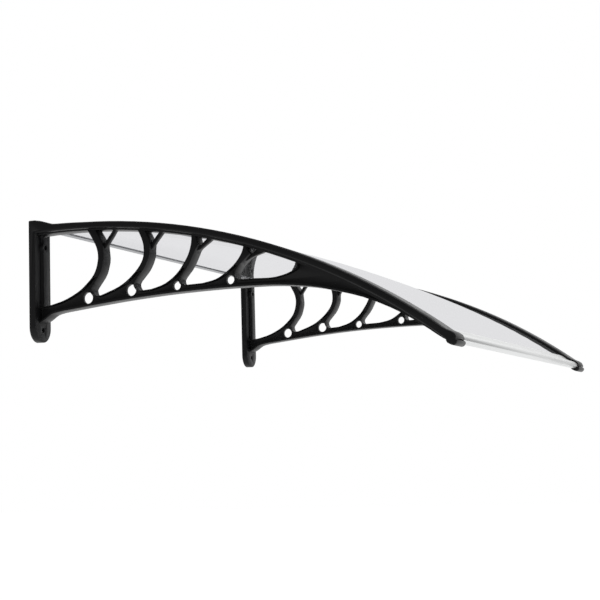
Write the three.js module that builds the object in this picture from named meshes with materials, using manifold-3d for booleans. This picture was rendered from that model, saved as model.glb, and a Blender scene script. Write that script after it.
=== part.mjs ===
// A door canopy: one curved clear sheet held between two black moulded brackets,
// with an aluminium bar along its wall edge and another along its front edge.
// Millimetres, +Z up. The wall is the plane Y = 0 and the canopy reaches towards -Y. The origin
// is on the wall, midway between the brackets, at mid-height of the rear bar's wall face.
import * as THREE from "three";
import { mergeVertices } from "three/addons/utils/BufferGeometryUtils.js";
import Module from "manifold-3d";

const wasm = await Module();
wasm.setup();

// Driving dimensions.
const SPACING = 960;
const REACH = 788;
const HEIGHT = 263.5;
const RAIL_WIDTH = 54;
const RAIL_HEIGHT = 10.6;
const RAIL_TAPER = 0.0045;
const RAIL_CHAMFER = 2;
const RIDGE_HEIGHT = 1.9;
const SHEET_DEPTH = 6.6;
const SHEET_THICKNESS = 2.6;
const SLOT_DEPTH = 20;
const GAP = 0.3;
const WEB = 8.5;
const RIB_DEPTH = 28;
const RIM = 1.5;
const LOWER_RIM = 3.8;
const PLATE_THICKNESS = 12.3;
const PLATE_CORNER = 3;
const STIFFENER_WIDTH = 12;
const STIFFENER_HEIGHT = 5.7;
const BOSS_DIAMETER = 20;
const SCREW_HOLE = 9;
const LARGE_HOLE = 20.6;
const SMALL_HOLE = 15.6;
const BAR_WALL = 1.5;
const FRONT_SOCKET = 15;
const REAR_SOCKET = 10;
const ARC_STEPS = 30;

// The bracket's side view is drawn 788 deep and 263.5 tall, then stretched to REACH and HEIGHT.
// Its points are (depth from the wall, height above the top of the wall plate).
const along = REACH / 788;
const up = HEIGHT / 263.5;
const at = ([depth, height]) => new THREE.Vector2(depth * along, height * up);

// The top of the rail is part of one circle: level at its crest, 226.2 lower where it meets the nose.
const CREST = at([88, -10.6]);
const RAIL_END = at([771, -236.8]);
const chord = RAIL_END.x - CREST.x;
const fall = CREST.y - RAIL_END.y;
const RADIUS = (chord ** 2 + fall ** 2) / (2 * fall);
const PLATE_HEIGHT = 219 * up;
const halfInside = (SPACING - RAIL_WIDTH) / 2;

// Height of the circle that runs `below` the rail's top, at a depth from the wall.
function arcHeight(depth, below) {
  const radius = RADIUS - below;
  return CREST.y - RADIUS + Math.sqrt(radius ** 2 - (depth - CREST.x) ** 2);
}

function arc(from, to, below, steps = ARC_STEPS, taper = 0) {
  const points = [];
  for (let i = 0; i <= steps; i += 1) {
    const depth = from + ((to - from) * i) / steps;
    points.push(new THREE.Vector2(depth, arcHeight(depth, below + taper * depth)));
  }
  return points;
}

function spline(points, steps) {
  return new THREE.SplineCurve(points.map(at)).getPoints(steps);
}

// Moves a closed outline outwards by a distance, leaving out the points that would cross over.
function grow(points, distance) {
  const turn = THREE.ShapeUtils.isClockWise(points) ? -1 : 1;
  const moved = points.map((point, i) => {
    const before = points[(i + points.length - 1) % points.length];
    const after = points[(i + 1) % points.length];
    const first = point.clone().sub(before).normalize();
    const second = after.clone().sub(point).normalize();
    const way = first.clone().add(second).normalize();
    const reach = (turn * distance) / Math.max(way.dot(second), 0.5);
    return new THREE.Vector2(point.x + way.y * reach, point.y - way.x * reach);
  });
  return moved.filter((point) => distanceTo(point, points) > distance - 0.05);
}

function distanceTo(point, outline) {
  let nearest = Infinity;
  outline.forEach((start, i) => {
    const edge = outline[(i + 1) % outline.length].clone().sub(start);
    const offset = point.clone().sub(start);
    const share = THREE.MathUtils.clamp(offset.dot(edge) / edge.lengthSq(), 0, 1);
    nearest = Math.min(nearest, offset.sub(edge.multiplyScalar(share)).length());
  });
  return nearest;
}

function shift(points, across, height) {
  return points.map((point) => new THREE.Vector2(point.x + across, point.y + height));
}

function toManifold(geometry) {
  const bare = geometry.clone();
  bare.deleteAttribute("normal");
  bare.deleteAttribute("uv");
  const merged = mergeVertices(bare, 1e-4);
  return new wasm.Manifold(
    new wasm.Mesh({
      numProp: 3,
      vertProperties: new Float32Array(merged.attributes.position.array),
      triVerts: new Uint32Array(merged.index.array),
    }),
  );
}

// A slab with the given side-view outline, `width` wide in X about x = centre.
const SIDE_VIEW = new THREE.Matrix4().makeBasis(
  new THREE.Vector3(0, -1, 0),
  new THREE.Vector3(0, 0, 1),
  new THREE.Vector3(-1, 0, 0),
);

function slab(outline, width, centre = 0, chamfer = 0) {
  const geometry = new THREE.ExtrudeGeometry(new THREE.Shape(outline), {
    depth: width - 2 * chamfer,
    steps: 1,
    bevelEnabled: chamfer > 0,
    bevelThickness: chamfer,
    bevelSize: chamfer,
    bevelOffset: -chamfer,
    bevelSegments: 1,
  });
  geometry.translate(0, 0, chamfer - width / 2 - centre);
  geometry.applyMatrix4(SIDE_VIEW);
  return toManifold(geometry);
}

// A round bar or hole along X through a side-view point.
function crossPin(point, diameter, width) {
  const geometry = new THREE.CylinderGeometry(diameter / 2, diameter / 2, width, 40);
  geometry.rotateZ(Math.PI / 2);
  geometry.translate(0, -point.x, point.y);
  return toManifold(geometry);
}

// A round boss or hole along Y, from one depth to another.
function depthPin(height, diameter, from, to) {
  const geometry = new THREE.CylinderGeometry(diameter / 2, diameter / 2, to - from, 32);
  geometry.translate(0, -(from + to) / 2, height);
  return toManifold(geometry);
}

function box(width, from, to, low, high) {
  const geometry = new THREE.BoxGeometry(width, to - from, high - low);
  geometry.translate(0, -(from + to) / 2, (low + high) / 2);
  return toManifold(geometry);
}

function unite(solids) {
  return solids.reduce((whole, solid) => whole.add(solid));
}

// The five openings between the rail and the strut, from the wall outwards. Each one runs down the
// edge of a thin limb, down a rib, along the foot and up the next rib, and closes inside the rail.
const openingOutlines = [
  {
    limb: spline([[34, -20], [27, -25.2], [19, -28], [14.5, -33]], 5),
    wall: [at([6, -38]), at([6, -100]), at([6, -157.5])],
    foot: [],
    rib: spline([[38, -153.4], [65, -146.2], [92, -133.3], [109, -120.2], [122, -106.6], [129, -92.6],
      [132.4, -75], [130.6, -60], [125, -46.5], [112, -24]], 24),
  },
  {
    limb: spline([[166, -24], [158.4, -35.8], [150.5, -46.6], [145.6, -54]], 5),
    wall: spline([[141.8, -58.5], [143.2, -76], [140.6, -90], [134.8, -105.8], [119, -126.8],
      [117.6, -131.5]], 11),
    foot: spline([[118.4, -136], [121, -140], [126, -142.6], [132, -142.9]], 5),
    rib: spline([[138, -141.8], [168, -131.2], [186, -121.3], [202, -108.3], [214, -94.8], [220.9, -81.6],
      [222.7, -67], [220, -49.8], [210, -28]], 20),
  },
  {
    limb: spline([[259, -34], [247.4, -47.7], [241.8, -54.4], [237, -62]], 5),
    wall: spline([[233.5, -66.5], [233.1, -75.9], [228.3, -89.8], [220.1, -103.5], [205.5, -119.4],
      [202.8, -126]], 10),
    foot: spline([[203.6, -130], [206, -134.2], [209.5, -137.4], [215, -138.7]], 5),
    rib: spline([[236, -137.2], [257.4, -131.5], [273, -123.4], [288.3, -110.8], [298.8, -97], [307, -84.1],
      [312.2, -70.5], [314.9, -57], [315, -42]], 18),
  },
  {
    limb: spline([[355, -53.5], [343.4, -61.9], [333.7, -68.2], [327, -73.2]], 4),
    wall: spline([[321, -74.8], [317.9, -81.8], [307.2, -102.2], [293.6, -118.2], [290.4, -124]], 9),
    foot: spline([[291, -128.4], [294.2, -132.2], [299, -134], [306, -134]], 5),
    rib: spline([[334, -133], [355, -129.1], [369.5, -123.1], [387.7, -110.5], [398, -100.8], [405.6, -91],
      [410.4, -81.5], [414, -68]], 16),
  },
  {
    limb: spline([[458, -80], [446, -86], [431.5, -90.6], [417, -96]], 5),
    wall: spline([[411, -99], [403, -107], [396.5, -116.5], [394.8, -123]], 6),
    foot: spline([[396, -127.8], [399.6, -130.4], [406, -131.2]], 4),
    rib: spline([[433, -131], [464.2, -131.6], [487.7, -127.5], [503, -121.6], [508.6, -118], [510, -113],
      [508, -100]], 14),
  },
];

// Each rib's head forks under the rail, and this is the triangle between its two prongs. The last
// number is the depth down to which the rib is solid: below it the wall is thin between raised rims.
const forks = [
  { gap: [[124.4, -21], [160.6, -23], [147.6, -39.8], [141, -48.8], [133.9, -36.5]], ribFoot: -115 },
  { gap: [[222.7, -29], [252.4, -32], [241.6, -45], [234.8, -53.4], [229.1, -41.7]], ribFoot: -107 },
  { gap: [[321, -45], [346.2, -50], [335.6, -59], [328.6, -65], [325.2, -62]], ribFoot: -108 },
  { gap: [[413.3, -72], [437.5, -76], [427, -85.3], [424, -88], [420, -82]], ribFoot: -108 },
];

const strutHoles = [
  { centre: at([105.7, -144.2]), diameter: LARGE_HOLE },
  { centre: at([191.6, -135.5]), diameter: LARGE_HOLE },
  { centre: at([280.6, -133.1]), diameter: SMALL_HOLE },
  { centre: at([382.2, -129.3]), diameter: SMALL_HOLE },
];

// The lower edge of the strut, from the flare at the wall plate to where it runs into the rail.
const strutEdge = [
  ...spline([[6, -187], [20, -181], [29, -175.6], [36, -170.8], [46, -167.8], [59, -165.8]], 8),
  ...spline([[120, -159], [180, -153], [255, -147.4], [329, -144.3], [395, -143.2], [462, -144],
    [518, -149], [560, -156.5], [626, -175], [683, -200], [726, -226], [757, -247.5], [772, -256]], 30),
];

// The solid part of rib k: up the edge of one opening, down its fork's first side and down the next one.
function ribOutline({ gap, ribFoot }, k) {
  const aboveFoot = (points) => points.filter((point) => point.y > ribFoot * up);
  return [
    ...aboveFoot(openingOutlines[k].rib),
    at(gap[0]),
    at(gap[4]),
    at(gap[3]),
    ...aboveFoot(openingOutlines[k + 1].wall),
  ];
}

function truss() {
  const railStart = at([6, 0]).x;
  const railFinish = at([765, 0]).x;
  const side = [...strutEdge, ...arc(railFinish, railStart, RAIL_HEIGHT / 2)];
  const ridge = [
    ...arc(railStart, railFinish, RAIL_HEIGHT / 2),
    ...arc(railFinish, railStart, RAIL_HEIGHT + RIDGE_HEIGHT, ARC_STEPS, 2 * RAIL_TAPER),
  ];
  const rims = openingOutlines.map(({ wall, foot, rib }) => {
    const lower = [...wall.slice(2), ...foot, ...rib];
    return slab(grow(lower, RIM), RIB_DEPTH);
  });
  const lowerRim = slab([...strutEdge, ...shift(strutEdge, 0, LOWER_RIM).reverse()], RIB_DEPTH);
  const ribs = forks.map((fork, k) => slab(ribOutline(fork, k), RIB_DEPTH));
  const openings = openingOutlines.map(({ limb, wall, foot, rib }) => {
    const outline = [...limb, ...wall, ...foot, ...rib];
    return slab(outline, RIB_DEPTH + 2);
  });
  const gaps = forks.map(({ gap }) => slab(gap.map(at), RIB_DEPTH + 2));
  const holes = strutHoles.map(({ centre, diameter }) => crossPin(centre, diameter, RIB_DEPTH + 2));
  return unite([...rims, lowerRim, ...ribs])
    .intersect(slab(side, RIB_DEPTH))
    .add(slab(side, WEB))
    .subtract(unite([...openings, ...gaps]))
    .add(slab(ridge, RIB_DEPTH).intersect(slab(side, RIB_DEPTH)))
    .subtract(unite(holes));
}

// The rail, and the step up to the top of the wall plate.
function rail() {
  const from = at([6, 0]).x;
  const underside = arc(RAIL_END.x, from, RAIL_HEIGHT, ARC_STEPS, RAIL_TAPER);
  const step = [
    ...spline([[17, -1], [23, -2.1], [30, -4], [37, -6.4], [47, -9], [58, -9.5], [80, -9.7], [104, -10.5],
      [126, -11.3]], 16),
    at([126, -18]),
    at([30, -19.8]),
    at([6, -20.4]),
    at([6, -1]),
  ];
  return slab([...arc(from, RAIL_END.x, 0), ...underside], RAIL_WIDTH, 0, RAIL_CHAMFER)
    .add(slab(step, RAIL_WIDTH, 0, RAIL_CHAMFER));
}

const noseOutline = [
  [762, -231], [771, -236.6], [778, -239.6], [783.4, -243.4], [786, -248.4], [786.4, -251.6], [784.6, -253.2],
  [787.2, -254.6], [788, -257.4], [787, -260.2], [784.4, -262.6], [781, -263.5], [776.6, -262], [771.4, -259],
  [769.4, -256], [768.8, -252.6], [766, -248.6], [757, -241.6], [752, -236],
].map(at);

// Side view of the front bar: a round-fronted hollow section whose lips grip the sheet's front edge.
const frontSheetEdge = at([766, 0]).x;
const frontLipEnd = at([752, 0]).x;
const lip = (below) => arc(frontLipEnd, at([764, 0]).x, below, 3);
const frontBarOuter = [
  ...lip(SHEET_DEPTH - GAP - BAR_WALL),
  ...spline([[770, -240.6], [778.5, -243.6], [783.4, -247.6], [784.6, -251.8], [783, -255.4],
    [778.6, -257], [770, -256.4], [765.6, -253.4]], 16),
  ...lip(SHEET_DEPTH + SHEET_THICKNESS + GAP + BAR_WALL).reverse(),
];
const frontBarSlot = [
  ...arc(frontLipEnd - 2, frontSheetEdge + GAP, SHEET_DEPTH - GAP, 4),
  ...arc(frontLipEnd - 2, frontSheetEdge + GAP, SHEET_DEPTH + SHEET_THICKNESS + GAP, 4).reverse(),
];
const frontBarCore = [
  [769.5, -246.6], [773.5, -244.4], [778, -246], [781.6, -249.2],
  [782.4, -252], [781, -254.2], [778, -255], [770.6, -254.4],
].map(at);

// Side view of the rear bar: a leaf against the wall and two lips that grip the sheet's rear edge.
const rearSheetEdge = at([36, 0]).x;
const rearLipEnd = at([48, 0]).x;
const wallFaceTop = at([0, -2]);
const wallFaceBottom = at([0, -12]);
const originHeight = (wallFaceTop.y + wallFaceBottom.y) / 2;
const rearBarOuter = [
  wallFaceTop,
  at([3, -2]),
  ...arc(rearSheetEdge - 4, rearLipEnd, SHEET_DEPTH - GAP - BAR_WALL, 4),
  ...arc(rearSheetEdge, rearLipEnd, SHEET_DEPTH + SHEET_THICKNESS + GAP + BAR_WALL, 3).reverse(),
  wallFaceBottom,
];
const rearBarCore = [[BAR_WALL, -3.6], [3.6, -3.9], [30, -18.8], [BAR_WALL, -10.8]].map(at);
const rearBarSlot = [
  ...arc(rearSheetEdge - GAP, rearLipEnd + 2, SHEET_DEPTH - GAP, 4),
  ...arc(rearSheetEdge - GAP, rearLipEnd + 2, SHEET_DEPTH + SHEET_THICKNESS + GAP, 4).reverse(),
];

// One bracket about x = 0. `inner` is +1 when the sheet is on its +X side, and -1 when it isn't.
function bracket(inner) {
  const half = RAIL_WIDTH / 2;
  const plate = new THREE.Shape();
  plate.moveTo(PLATE_CORNER - half, 0);
  plate.absarc(PLATE_CORNER - half, -PLATE_CORNER, PLATE_CORNER, Math.PI / 2, Math.PI, false);
  plate.absarc(0, half - PLATE_HEIGHT, half, Math.PI, 2 * Math.PI, false);
  plate.absarc(half - PLATE_CORNER, -PLATE_CORNER, PLATE_CORNER, 0, Math.PI / 2, false);
  const plateGeometry = new THREE.ExtrudeGeometry(plate, {
    depth: PLATE_THICKNESS,
    bevelEnabled: false,
    curveSegments: 20,
  });
  plateGeometry.rotateX(Math.PI / 2);
  const stiffenerFront = PLATE_THICKNESS + STIFFENER_HEIGHT;
  const upperHole = at([0, -48]).y;
  const lowerHole = at([0, -197]).y;
  const body = unite([
    toManifold(plateGeometry),
    box(STIFFENER_WIDTH, 6, stiffenerFront, at([0, -160]).y, at([0, -20]).y),
    depthPin(upperHole, BOSS_DIAMETER, 6, stiffenerFront + 0.6),
    rail(),
    truss(),
    slab(noseOutline, RAIL_WIDTH, 0, 1.2),
  ]);
  const side = (depth) => inner * (half - depth / 2 + 1);
  const slot = [
    ...arc(rearSheetEdge - 2, frontSheetEdge + 1, SHEET_DEPTH - GAP),
    ...arc(rearSheetEdge - 2, frontSheetEdge + 1, SHEET_DEPTH + SHEET_THICKNESS + GAP).reverse(),
  ];
  return body.subtract(unite([
    depthPin(upperHole, SCREW_HOLE, -1, stiffenerFront + 2),
    depthPin(lowerHole, SCREW_HOLE, -1, stiffenerFront + 2),
    slab(slot, SLOT_DEPTH + 2, side(SLOT_DEPTH)),
    slab(grow(frontBarOuter, GAP), FRONT_SOCKET + 2, side(FRONT_SOCKET)),
    slab(grow(rearBarOuter, GAP), REAR_SOCKET + 2, side(REAR_SOCKET)),
  ]));
}

function sheet() {
  const halfWidth = halfInside + SLOT_DEPTH - 2 * GAP;
  const section = [
    ...arc(rearSheetEdge, frontSheetEdge, SHEET_DEPTH),
    ...arc(rearSheetEdge, frontSheetEdge, SHEET_DEPTH + SHEET_THICKNESS).reverse(),
  ];
  return slab(section, 2 * halfWidth);
}

function frontBar() {
  const length = 2 * (halfInside + FRONT_SOCKET - 2 * GAP);
  return slab(frontBarOuter, length)
    .subtract(slab(frontBarSlot, length + 2))
    .subtract(slab(frontBarCore, length + 2));
}

function rearBar() {
  const length = 2 * (halfInside + REAR_SOCKET - 2 * GAP);
  return slab(rearBarOuter, length)
    .subtract(slab(rearBarSlot, length + 2))
    .subtract(slab(rearBarCore, length + 2));
}

const canopy = new THREE.Group();

function show(name, solid, material, x = 0) {
  const { vertProperties, triVerts } = solid.getMesh();
  const geometry = new THREE.BufferGeometry();
  geometry.setAttribute("position", new THREE.BufferAttribute(vertProperties, 3));
  geometry.setIndex(new THREE.BufferAttribute(triVerts, 1));
  geometry.computeVertexNormals();
  const mesh = new THREE.Mesh(geometry, material);
  mesh.name = name;
  mesh.position.set(x, 0, -originHeight);
  canopy.add(mesh);
}

const finish = (color, roughness, metalness) => new THREE.MeshStandardMaterial({ color, roughness, metalness });
const blackPlastic = () => finish(0x1b1b1d, 0.45, 0);
const aluminium = () => finish(0xd9dadc, 0.35, 1);
const polycarbonate = () => finish(0xdedee0, 0.08, 0);

show("bracket_left", bracket(1), blackPlastic(), -SPACING / 2);
show("bracket_right", bracket(-1), blackPlastic(), SPACING / 2);
show("sheet", sheet(), polycarbonate());
show("front_bar", frontBar(), aluminium());
show("rear_bar", rearBar(), aluminium());

export default canopy;
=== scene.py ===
# Door canopy: a curved polycarbonate sheet between two black moulded brackets,
# with an aluminium bar along the wall and another along the front edge.
import math

import bmesh
import bpy
from mathutils import Matrix, Vector


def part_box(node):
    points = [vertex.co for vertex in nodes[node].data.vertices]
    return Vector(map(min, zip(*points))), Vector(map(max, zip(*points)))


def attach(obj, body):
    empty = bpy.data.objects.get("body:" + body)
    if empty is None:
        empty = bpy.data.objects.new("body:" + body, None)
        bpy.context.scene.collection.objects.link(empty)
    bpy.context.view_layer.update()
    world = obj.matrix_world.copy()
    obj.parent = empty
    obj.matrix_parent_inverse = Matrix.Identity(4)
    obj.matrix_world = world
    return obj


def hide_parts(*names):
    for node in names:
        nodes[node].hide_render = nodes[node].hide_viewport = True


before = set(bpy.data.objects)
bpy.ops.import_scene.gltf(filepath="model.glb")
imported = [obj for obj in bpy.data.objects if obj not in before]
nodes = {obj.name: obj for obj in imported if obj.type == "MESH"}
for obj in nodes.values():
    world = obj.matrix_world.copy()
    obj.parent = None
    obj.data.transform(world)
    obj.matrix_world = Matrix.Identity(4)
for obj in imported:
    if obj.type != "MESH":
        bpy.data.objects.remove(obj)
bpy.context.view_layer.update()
scene = bpy.context.scene

# The photograph's viewpoint, solved from the two brackets, in metres.
cameraValues = {
    "place": (-3.0539, -1.5034, -0.4415),
    "right": (0.3628, -0.9315, -0.0255),
    "up": (-0.0838, -0.0599, 0.9947),
    "lens": 98.4,
    "sensor": 36.0,
    "farthest": 100.0,
}


def addCamera(values):
    data = bpy.data.cameras.new("camera")
    data.lens = values["lens"]
    data.sensor_width = values["sensor"]
    data.sensor_fit = "HORIZONTAL"
    data.clip_end = values["farthest"]
    camera = bpy.data.objects.new("camera", data)
    right = Vector(values["right"]).normalized()
    back = right.cross(Vector(values["up"])).normalized()
    up = back.cross(right)
    turn = Matrix((right, up, back)).transposed()
    camera.matrix_world = Matrix.Translation(values["place"]) @ turn.to_4x4()
    scene.collection.objects.link(camera)
    scene.camera = camera


addCamera(cameraValues)
print("camera placed")


def linear(code):  # an sRGB hex value by the standard's own curve
    channels = [int(code[i:i + 2], 16) / 255 for i in (1, 3, 5)]
    curve = [c / 12.92 if c <= 0.04045 else ((c + 0.055) / 1.055) ** 2.4 for c in channels]
    return (*curve, 1.0)


def addNode(tree, kind, settings=None, links=None):
    node = tree.nodes.new(kind)
    for name, value in (settings or {}).items():
        if isinstance(name, int) or name in node.inputs:
            node.inputs[name].default_value = value
        else:
            setattr(node, name, value)
    for name, source in (links or {}).items():
        tree.links.new(source, node.inputs[name])
    return node


def newMaterial(name):
    material = bpy.data.materials.new(name)
    material.use_nodes = True
    material.node_tree.nodes.clear()
    return material, material.node_tree


def finishMaterial(tree, shader):
    addNode(tree, "ShaderNodeOutputMaterial", links={"Surface": shader.outputs[0]})


def setMaterial(piece, material):
    piece.data.materials.clear()
    piece.data.materials.append(material)


# Black ABS, injection moulded: a satin skin with a very fine spark-eroded grain, which
# shows as a soft sheen on the edges and hardly any on the flat walls. The melt's flow
# leaves patches about 70 mm across that are a little smoother or rougher.
plasticValues = {
    "colour": "#121213",
    "ior": 1.5,
    "specular": 0.16,
    "roughness": 0.36,
    "smoother": 0.05,
    "rougher": 0.06,
    "patches": 14.0,  # to a metre
    "patchDetail": 3.0,
    "grain": 0.0009,
    "grainDetail": 2.0,
    "relief": 0.00004,
    "bump": 0.3,
}


def mouldedAbs(values):
    material, tree = newMaterial("mouldedBlackAbs")
    place = addNode(tree, "ShaderNodeTexCoord")
    grain = addNode(tree, "ShaderNodeTexNoise",
                    {"Scale": 1 / values["grain"], "Detail": values["grainDetail"]},
                    {"Vector": place.outputs["Object"]})
    bump = addNode(tree, "ShaderNodeBump",
                   {"Strength": values["bump"], "Distance": values["relief"]},
                   {"Height": grain.outputs["Fac"]})
    flow = addNode(tree, "ShaderNodeTexNoise",
                   {"Scale": values["patches"], "Detail": values["patchDetail"]},
                   {"Vector": place.outputs["Object"]})
    rough = addNode(tree, "ShaderNodeMapRange",
                    {"To Min": values["roughness"] - values["smoother"],
                     "To Max": values["roughness"] + values["rougher"]},
                    {"Value": flow.outputs["Fac"]})
    shader = addNode(tree, "ShaderNodeBsdfPrincipled",
                     {"Base Color": linear(values["colour"]), "IOR": values["ior"],
                      "Specular IOR Level": values["specular"]},
                     {"Roughness": rough.outputs["Result"], "Normal": bump.outputs["Normal"]})
    finishMaterial(tree, shader)
    return material


# Milky polycarbonate, extruded: light scatters through it, and its two glossy faces mirror
# what lies behind once it is seen along its surface. Faint die lines, 6 mm apart, run from
# the wall to the front.
sheetValues = {
    "colour": "#dedfe0",
    "lineColour": "#dadbdd",
    "gloss": "#e1e1e3",
    "ior": 1.585,
    "roughness": 0.02,
    "streak": 0.01,
    "through": 0.3,
    "line": 0.006,
    "lineStretch": 0.8,
    "lineDetail": 2.0,
    "faceOn": 0.05,  # the share that mirrors, seen square on
    "edgeOn": 0.94,  # and seen along the surface
    "mirrorFrom": 0.05,
    "mirrorTo": 0.5,
}


def extrudedPolycarbonate(values):
    material, tree = newMaterial("extrudedMilkyPolycarbonate")
    place = addNode(tree, "ShaderNodeTexCoord")
    stretch = values["lineStretch"]
    along = addNode(tree, "ShaderNodeMapping", {"Scale": (1 / values["line"], stretch, stretch)},
                    {"Vector": place.outputs["Object"]})
    lines = addNode(tree, "ShaderNodeTexNoise", {"Scale": 1.0, "Detail": values["lineDetail"]},
                    {"Vector": along.outputs["Vector"]})
    colour = addNode(tree, "ShaderNodeMix",
                     {"data_type": "RGBA", 6: linear(values["colour"]), 7: linear(values["lineColour"])},
                     {"Factor": lines.outputs["Fac"]})
    rough = addNode(tree, "ShaderNodeMapRange",
                    {"To Min": values["roughness"] - values["streak"],
                     "To Max": values["roughness"] + values["streak"]},
                    {"Value": lines.outputs["Fac"]})
    front = addNode(tree, "ShaderNodeBsdfDiffuse", links={"Color": colour.outputs[2]})
    through = addNode(tree, "ShaderNodeBsdfTranslucent", links={"Color": colour.outputs[2]})
    body = addNode(tree, "ShaderNodeMixShader", {"Fac": values["through"]},
                   {1: front.outputs[0], 2: through.outputs[0]})
    gloss = addNode(tree, "ShaderNodeBsdfAnisotropic", {"Color": linear(values["gloss"])},
                    {"Roughness": rough.outputs["Result"]})
    angle = addNode(tree, "ShaderNodeFresnel", {"IOR": values["ior"]})
    # Both faces mirror, so the share rises faster than one face's does.
    share = addNode(tree, "ShaderNodeMapRange",
                    {"From Min": values["mirrorFrom"], "From Max": values["mirrorTo"],
                     "To Min": values["faceOn"], "To Max": values["edgeOn"]},
                    {"Value": angle.outputs["Fac"]})
    shader = addNode(tree, "ShaderNodeMixShader", links={
        "Fac": share.outputs["Result"], 1: body.outputs[0], 2: gloss.outputs[0]})
    finishMaterial(tree, shader)
    return material


# Aluminium, extruded and satin anodised: draw lines run the length of the bar. Real ones are
# about 0.3 mm apart, and these are coarser so that they show.
barValues = {
    "front_bar": {"colour": "#dcdddd", "roughness": 0.3},
    # The rear bar is the same aluminium as the front one. Its darker colour is painted shade, standing
    # in for the shade it lies in.
    "rear_bar": {"colour": "#b2b3b5", "roughness": 0.5},
    "smoother": 0.06,
    "rougher": 0.08,
    "line": 0.0015,
    "lineStretch": 1.5,
    "lineDetail": 3.0,
    "relief": 0.00003,
    "bump": 0.25,
}


def anodisedAluminium(name, values):
    bar = values[name]
    material, tree = newMaterial("satinAnodisedAluminium." + name)
    place = addNode(tree, "ShaderNodeTexCoord")
    width = 1 / values["line"]
    along = addNode(tree, "ShaderNodeMapping", {"Scale": (values["lineStretch"], width, width)},
                    {"Vector": place.outputs["Object"]})
    lines = addNode(tree, "ShaderNodeTexNoise", {"Scale": 1.0, "Detail": values["lineDetail"]},
                    {"Vector": along.outputs["Vector"]})
    rough = addNode(tree, "ShaderNodeMapRange",
                    {"To Min": bar["roughness"] - values["smoother"],
                     "To Max": bar["roughness"] + values["rougher"]},
                    {"Value": lines.outputs["Fac"]})
    bump = addNode(tree, "ShaderNodeBump",
                   {"Strength": values["bump"], "Distance": values["relief"]},
                   {"Height": lines.outputs["Fac"]})
    shader = addNode(tree, "ShaderNodeBsdfPrincipled",
                     {"Base Color": linear(bar["colour"]), "Metallic": 1.0},
                     {"Roughness": rough.outputs["Result"], "Normal": bump.outputs["Normal"]})
    finishMaterial(tree, shader)
    return material


blackAbs = mouldedAbs(plasticValues)
polycarbonate = extrudedPolycarbonate(sheetValues)
for name in ("bracket_left", "bracket_right"):
    setMaterial(nodes[name], blackAbs)
for name in ("front_bar", "rear_bar"):
    setMaterial(nodes[name], anodisedAluminium(name, barValues))
print("materials set")

# The sheet springs up between the brackets and the bars, and lies in their slots at its
# edges. It leans towards the left bracket, and a higher ease starts the rise more gently.
bowValues = {"rise": 0.0105, "lean": 0.3, "ease": 1.15, "strips": 32, "weld": 0.00001}


def bowedSheet(values):
    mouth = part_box("bracket_right")[0][0]
    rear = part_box("rear_bar")[0][1]
    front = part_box("front_bar")[1][1]
    shape = bmesh.new()
    shape.from_mesh(nodes["sheet"].data)
    bmesh.ops.remove_doubles(shape, verts=shape.verts, dist=values["weld"])
    for step in range(values["strips"] + 1):
        cut = mouth * (2 * step / values["strips"] - 1)
        bmesh.ops.bisect_plane(shape, geom=shape.verts[:] + shape.edges[:] + shape.faces[:],
                               plane_co=(cut, 0, 0), plane_no=(1, 0, 0))
    for vert in shape.verts:
        across = max(-1, min(1, vert.co.x / mouth))
        along = max(0, min(1, (vert.co.y - rear) / (front - rear)))
        lift = (1 - across ** 2) * (1 - values["lean"] * across)
        lift *= max(0, math.sin(math.pi * along)) ** values["ease"]
        vert.co.z += values["rise"] * lift
    mesh = bpy.data.meshes.new("cover_sheet")
    shape.to_mesh(mesh)
    shape.free()
    piece = bpy.data.objects.new("cover_sheet", mesh)
    scene.collection.objects.link(piece)
    setMaterial(piece, polycarbonate)
    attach(piece, "root")
    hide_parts("sheet")
    return piece


coverSheet = bowedSheet(bowValues)
print("sheet bowed")

# Softened edges, in metres and degrees. The CAD nodes are loose triangles, so each is welded first.
edgeValues = {
    "bracket_left": 0.0008,
    "bracket_right": 0.0008,
    "front_bar": 0.001,
    "rear_bar": 0.0003,
    "cover_sheet": 0.0003,
    "segments": 2,
    "angle": 32,
    "weld": 0.00001,
}


def softenEdges(piece, values):
    weld = piece.modifiers.new("weld", "WELD")
    weld.merge_threshold = values["weld"]
    bevel = piece.modifiers.new("softEdges", "BEVEL")
    bevel.width = values[piece.name]
    bevel.segments = values["segments"]
    bevel.limit_method = "ANGLE"
    bevel.angle_limit = math.radians(values["angle"])
    for face in piece.data.polygons:
        face.use_smooth = True


for name in ("bracket_left", "bracket_right", "front_bar", "rear_bar"):
    softenEdges(nodes[name], edgeValues)
softenEdges(coverSheet, edgeValues)
print("edges softened")

white = (1, 1, 1, 1)


def seenRay(tree):  # 1 for rays that show the background: straight, in gloss or through the sheet
    path = addNode(tree, "ShaderNodeLightPath")
    either = addNode(tree, "ShaderNodeMath", {"operation": "MAXIMUM"},
                     {0: path.outputs["Is Camera Ray"], 1: path.outputs["Is Glossy Ray"]})
    seen = addNode(tree, "ShaderNodeMath", {"operation": "MAXIMUM"},
                   {0: either.outputs[0], 1: path.outputs["Is Transmission Ray"]})
    return seen.outputs[0]


# White paper. Its matt share, what is left beside the glow's share, keeps the object's shadow.
floorValues = {"height": -1.1, "size": 40.0, "colour": "#f4f4f4", "glow": 1.1, "share": 0.88}


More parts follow.
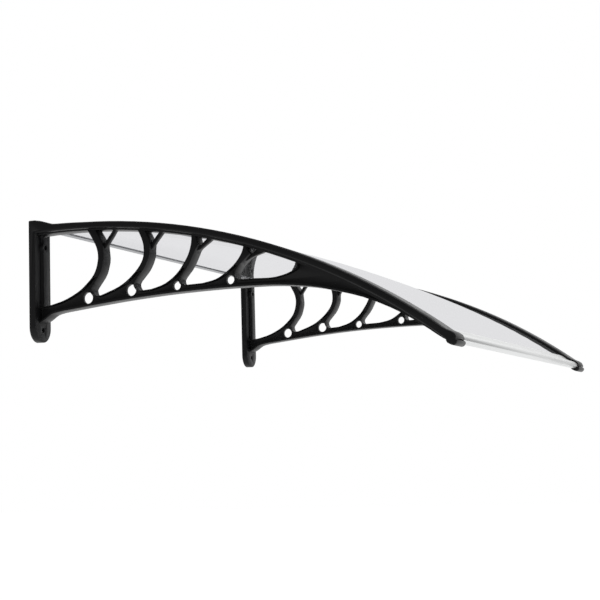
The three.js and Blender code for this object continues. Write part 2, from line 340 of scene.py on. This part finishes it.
def addFloor(values):
    mesh = bpy.data.meshes.new("floor")
    shape = bmesh.new()
    bmesh.ops.create_grid(shape, x_segments=1, y_segments=1, size=values["size"] / 2)
    bmesh.ops.translate(shape, vec=(0, 0, values["height"]), verts=shape.verts)
    shape.to_mesh(mesh)
    shape.free()
    floor = bpy.data.objects.new("floor", mesh)
    scene.collection.objects.link(floor)
    material, tree = newMaterial("floorPaper")
    matt = addNode(tree, "ShaderNodeBsdfDiffuse", {"Color": linear(values["colour"])})
    glow = addNode(tree, "ShaderNodeEmission", {"Color": white, "Strength": values["glow"]})
    share = addNode(tree, "ShaderNodeMath", {"operation": "MULTIPLY", 1: values["share"]},
                    {0: seenRay(tree)})
    mix = addNode(tree, "ShaderNodeMixShader", links={
        "Fac": share.outputs[0], 1: matt.outputs[0], 2: glow.outputs[0]})
    finishMaterial(tree, mix)
    setMaterial(floor, material)


# The world is white where it is seen, and through the sheet too. Gloss shows it white on the
# side of the backdrop, which lies towards +X and +Y, and darker behind the camera. As a light
# it is even all round.
worldValues = {
    "seen": 1.0,
    "bright": 1.0,
    "dark": 0.25,
    "light": 0.72,
    "backdrop": (0.75, 0.65, 0.12),
    "darkUpTo": 0.05,
    "brightFrom": 0.8,
}


def addWorld(values):
    world = bpy.data.worlds.new("studio")
    world.use_nodes = True
    tree = world.node_tree
    tree.nodes.clear()
    path = addNode(tree, "ShaderNodeLightPath")
    place = addNode(tree, "ShaderNodeTexCoord")
    side = addNode(tree, "ShaderNodeVectorMath",
                   {"operation": "DOT_PRODUCT", 1: values["backdrop"]},
                   {0: place.outputs["Generated"]})
    room = addNode(tree, "ShaderNodeMapRange",
                   {"interpolation_type": "SMOOTHSTEP",
                    "From Min": values["darkUpTo"], "From Max": values["brightFrom"],
                    "To Min": values["dark"], "To Max": values["bright"]},
                   {"Value": side.outputs["Value"]})
    seen = addNode(tree, "ShaderNodeMath", {"operation": "MAXIMUM"},
                   {0: path.outputs["Is Camera Ray"], 1: path.outputs["Is Transmission Ray"]})
    gloss = addNode(tree, "ShaderNodeMix", {"data_type": "FLOAT", "A": values["light"]},
                    {"Factor": path.outputs["Is Glossy Ray"], "B": room.outputs["Result"]})
    level = addNode(tree, "ShaderNodeMix", {"data_type": "FLOAT", "B": values["seen"]},
                    {"Factor": seen.outputs[0], "A": gloss.outputs["Result"]})
    background = addNode(tree, "ShaderNodeBackground", {"Color": white},
                         {"Strength": level.outputs["Result"]})
    addNode(tree, "ShaderNodeOutputWorld", links={"Surface": background.outputs[0]})
    scene.world = world


# Two soft boxes, above and in front, both aimed at the middle of the sheet.
lampValues = {
    "aim": (0.0, -0.4, -0.1),
    "topSoftbox": {"place": (0.2, -1.2, 2.6), "size": (3.0, 2.0), "power": 50.0},
    "frontSoftbox": {"place": (0.4, -3.6, -0.2), "size": (2.4, 1.8), "power": 20.0},
}


def addLamp(name, values):
    box = values[name]
    data = bpy.data.lights.new(name, "AREA")
    data.shape = "RECTANGLE"
    data.size, data.size_y = box["size"]
    data.energy = box["power"]
    lamp = bpy.data.objects.new(name, data)
    lamp.location = box["place"]
    aim = Vector(values["aim"]) - Vector(box["place"])
    lamp.rotation_euler = aim.to_track_quat("-Z", "Y").to_euler()
    scene.collection.objects.link(lamp)


addFloor(floorValues)
addWorld(worldValues)
for name in ("topSoftbox", "frontSoftbox"):
    addLamp(name, lampValues)
scene.view_settings.view_transform = "Standard"
print("floor, world and lamps set")
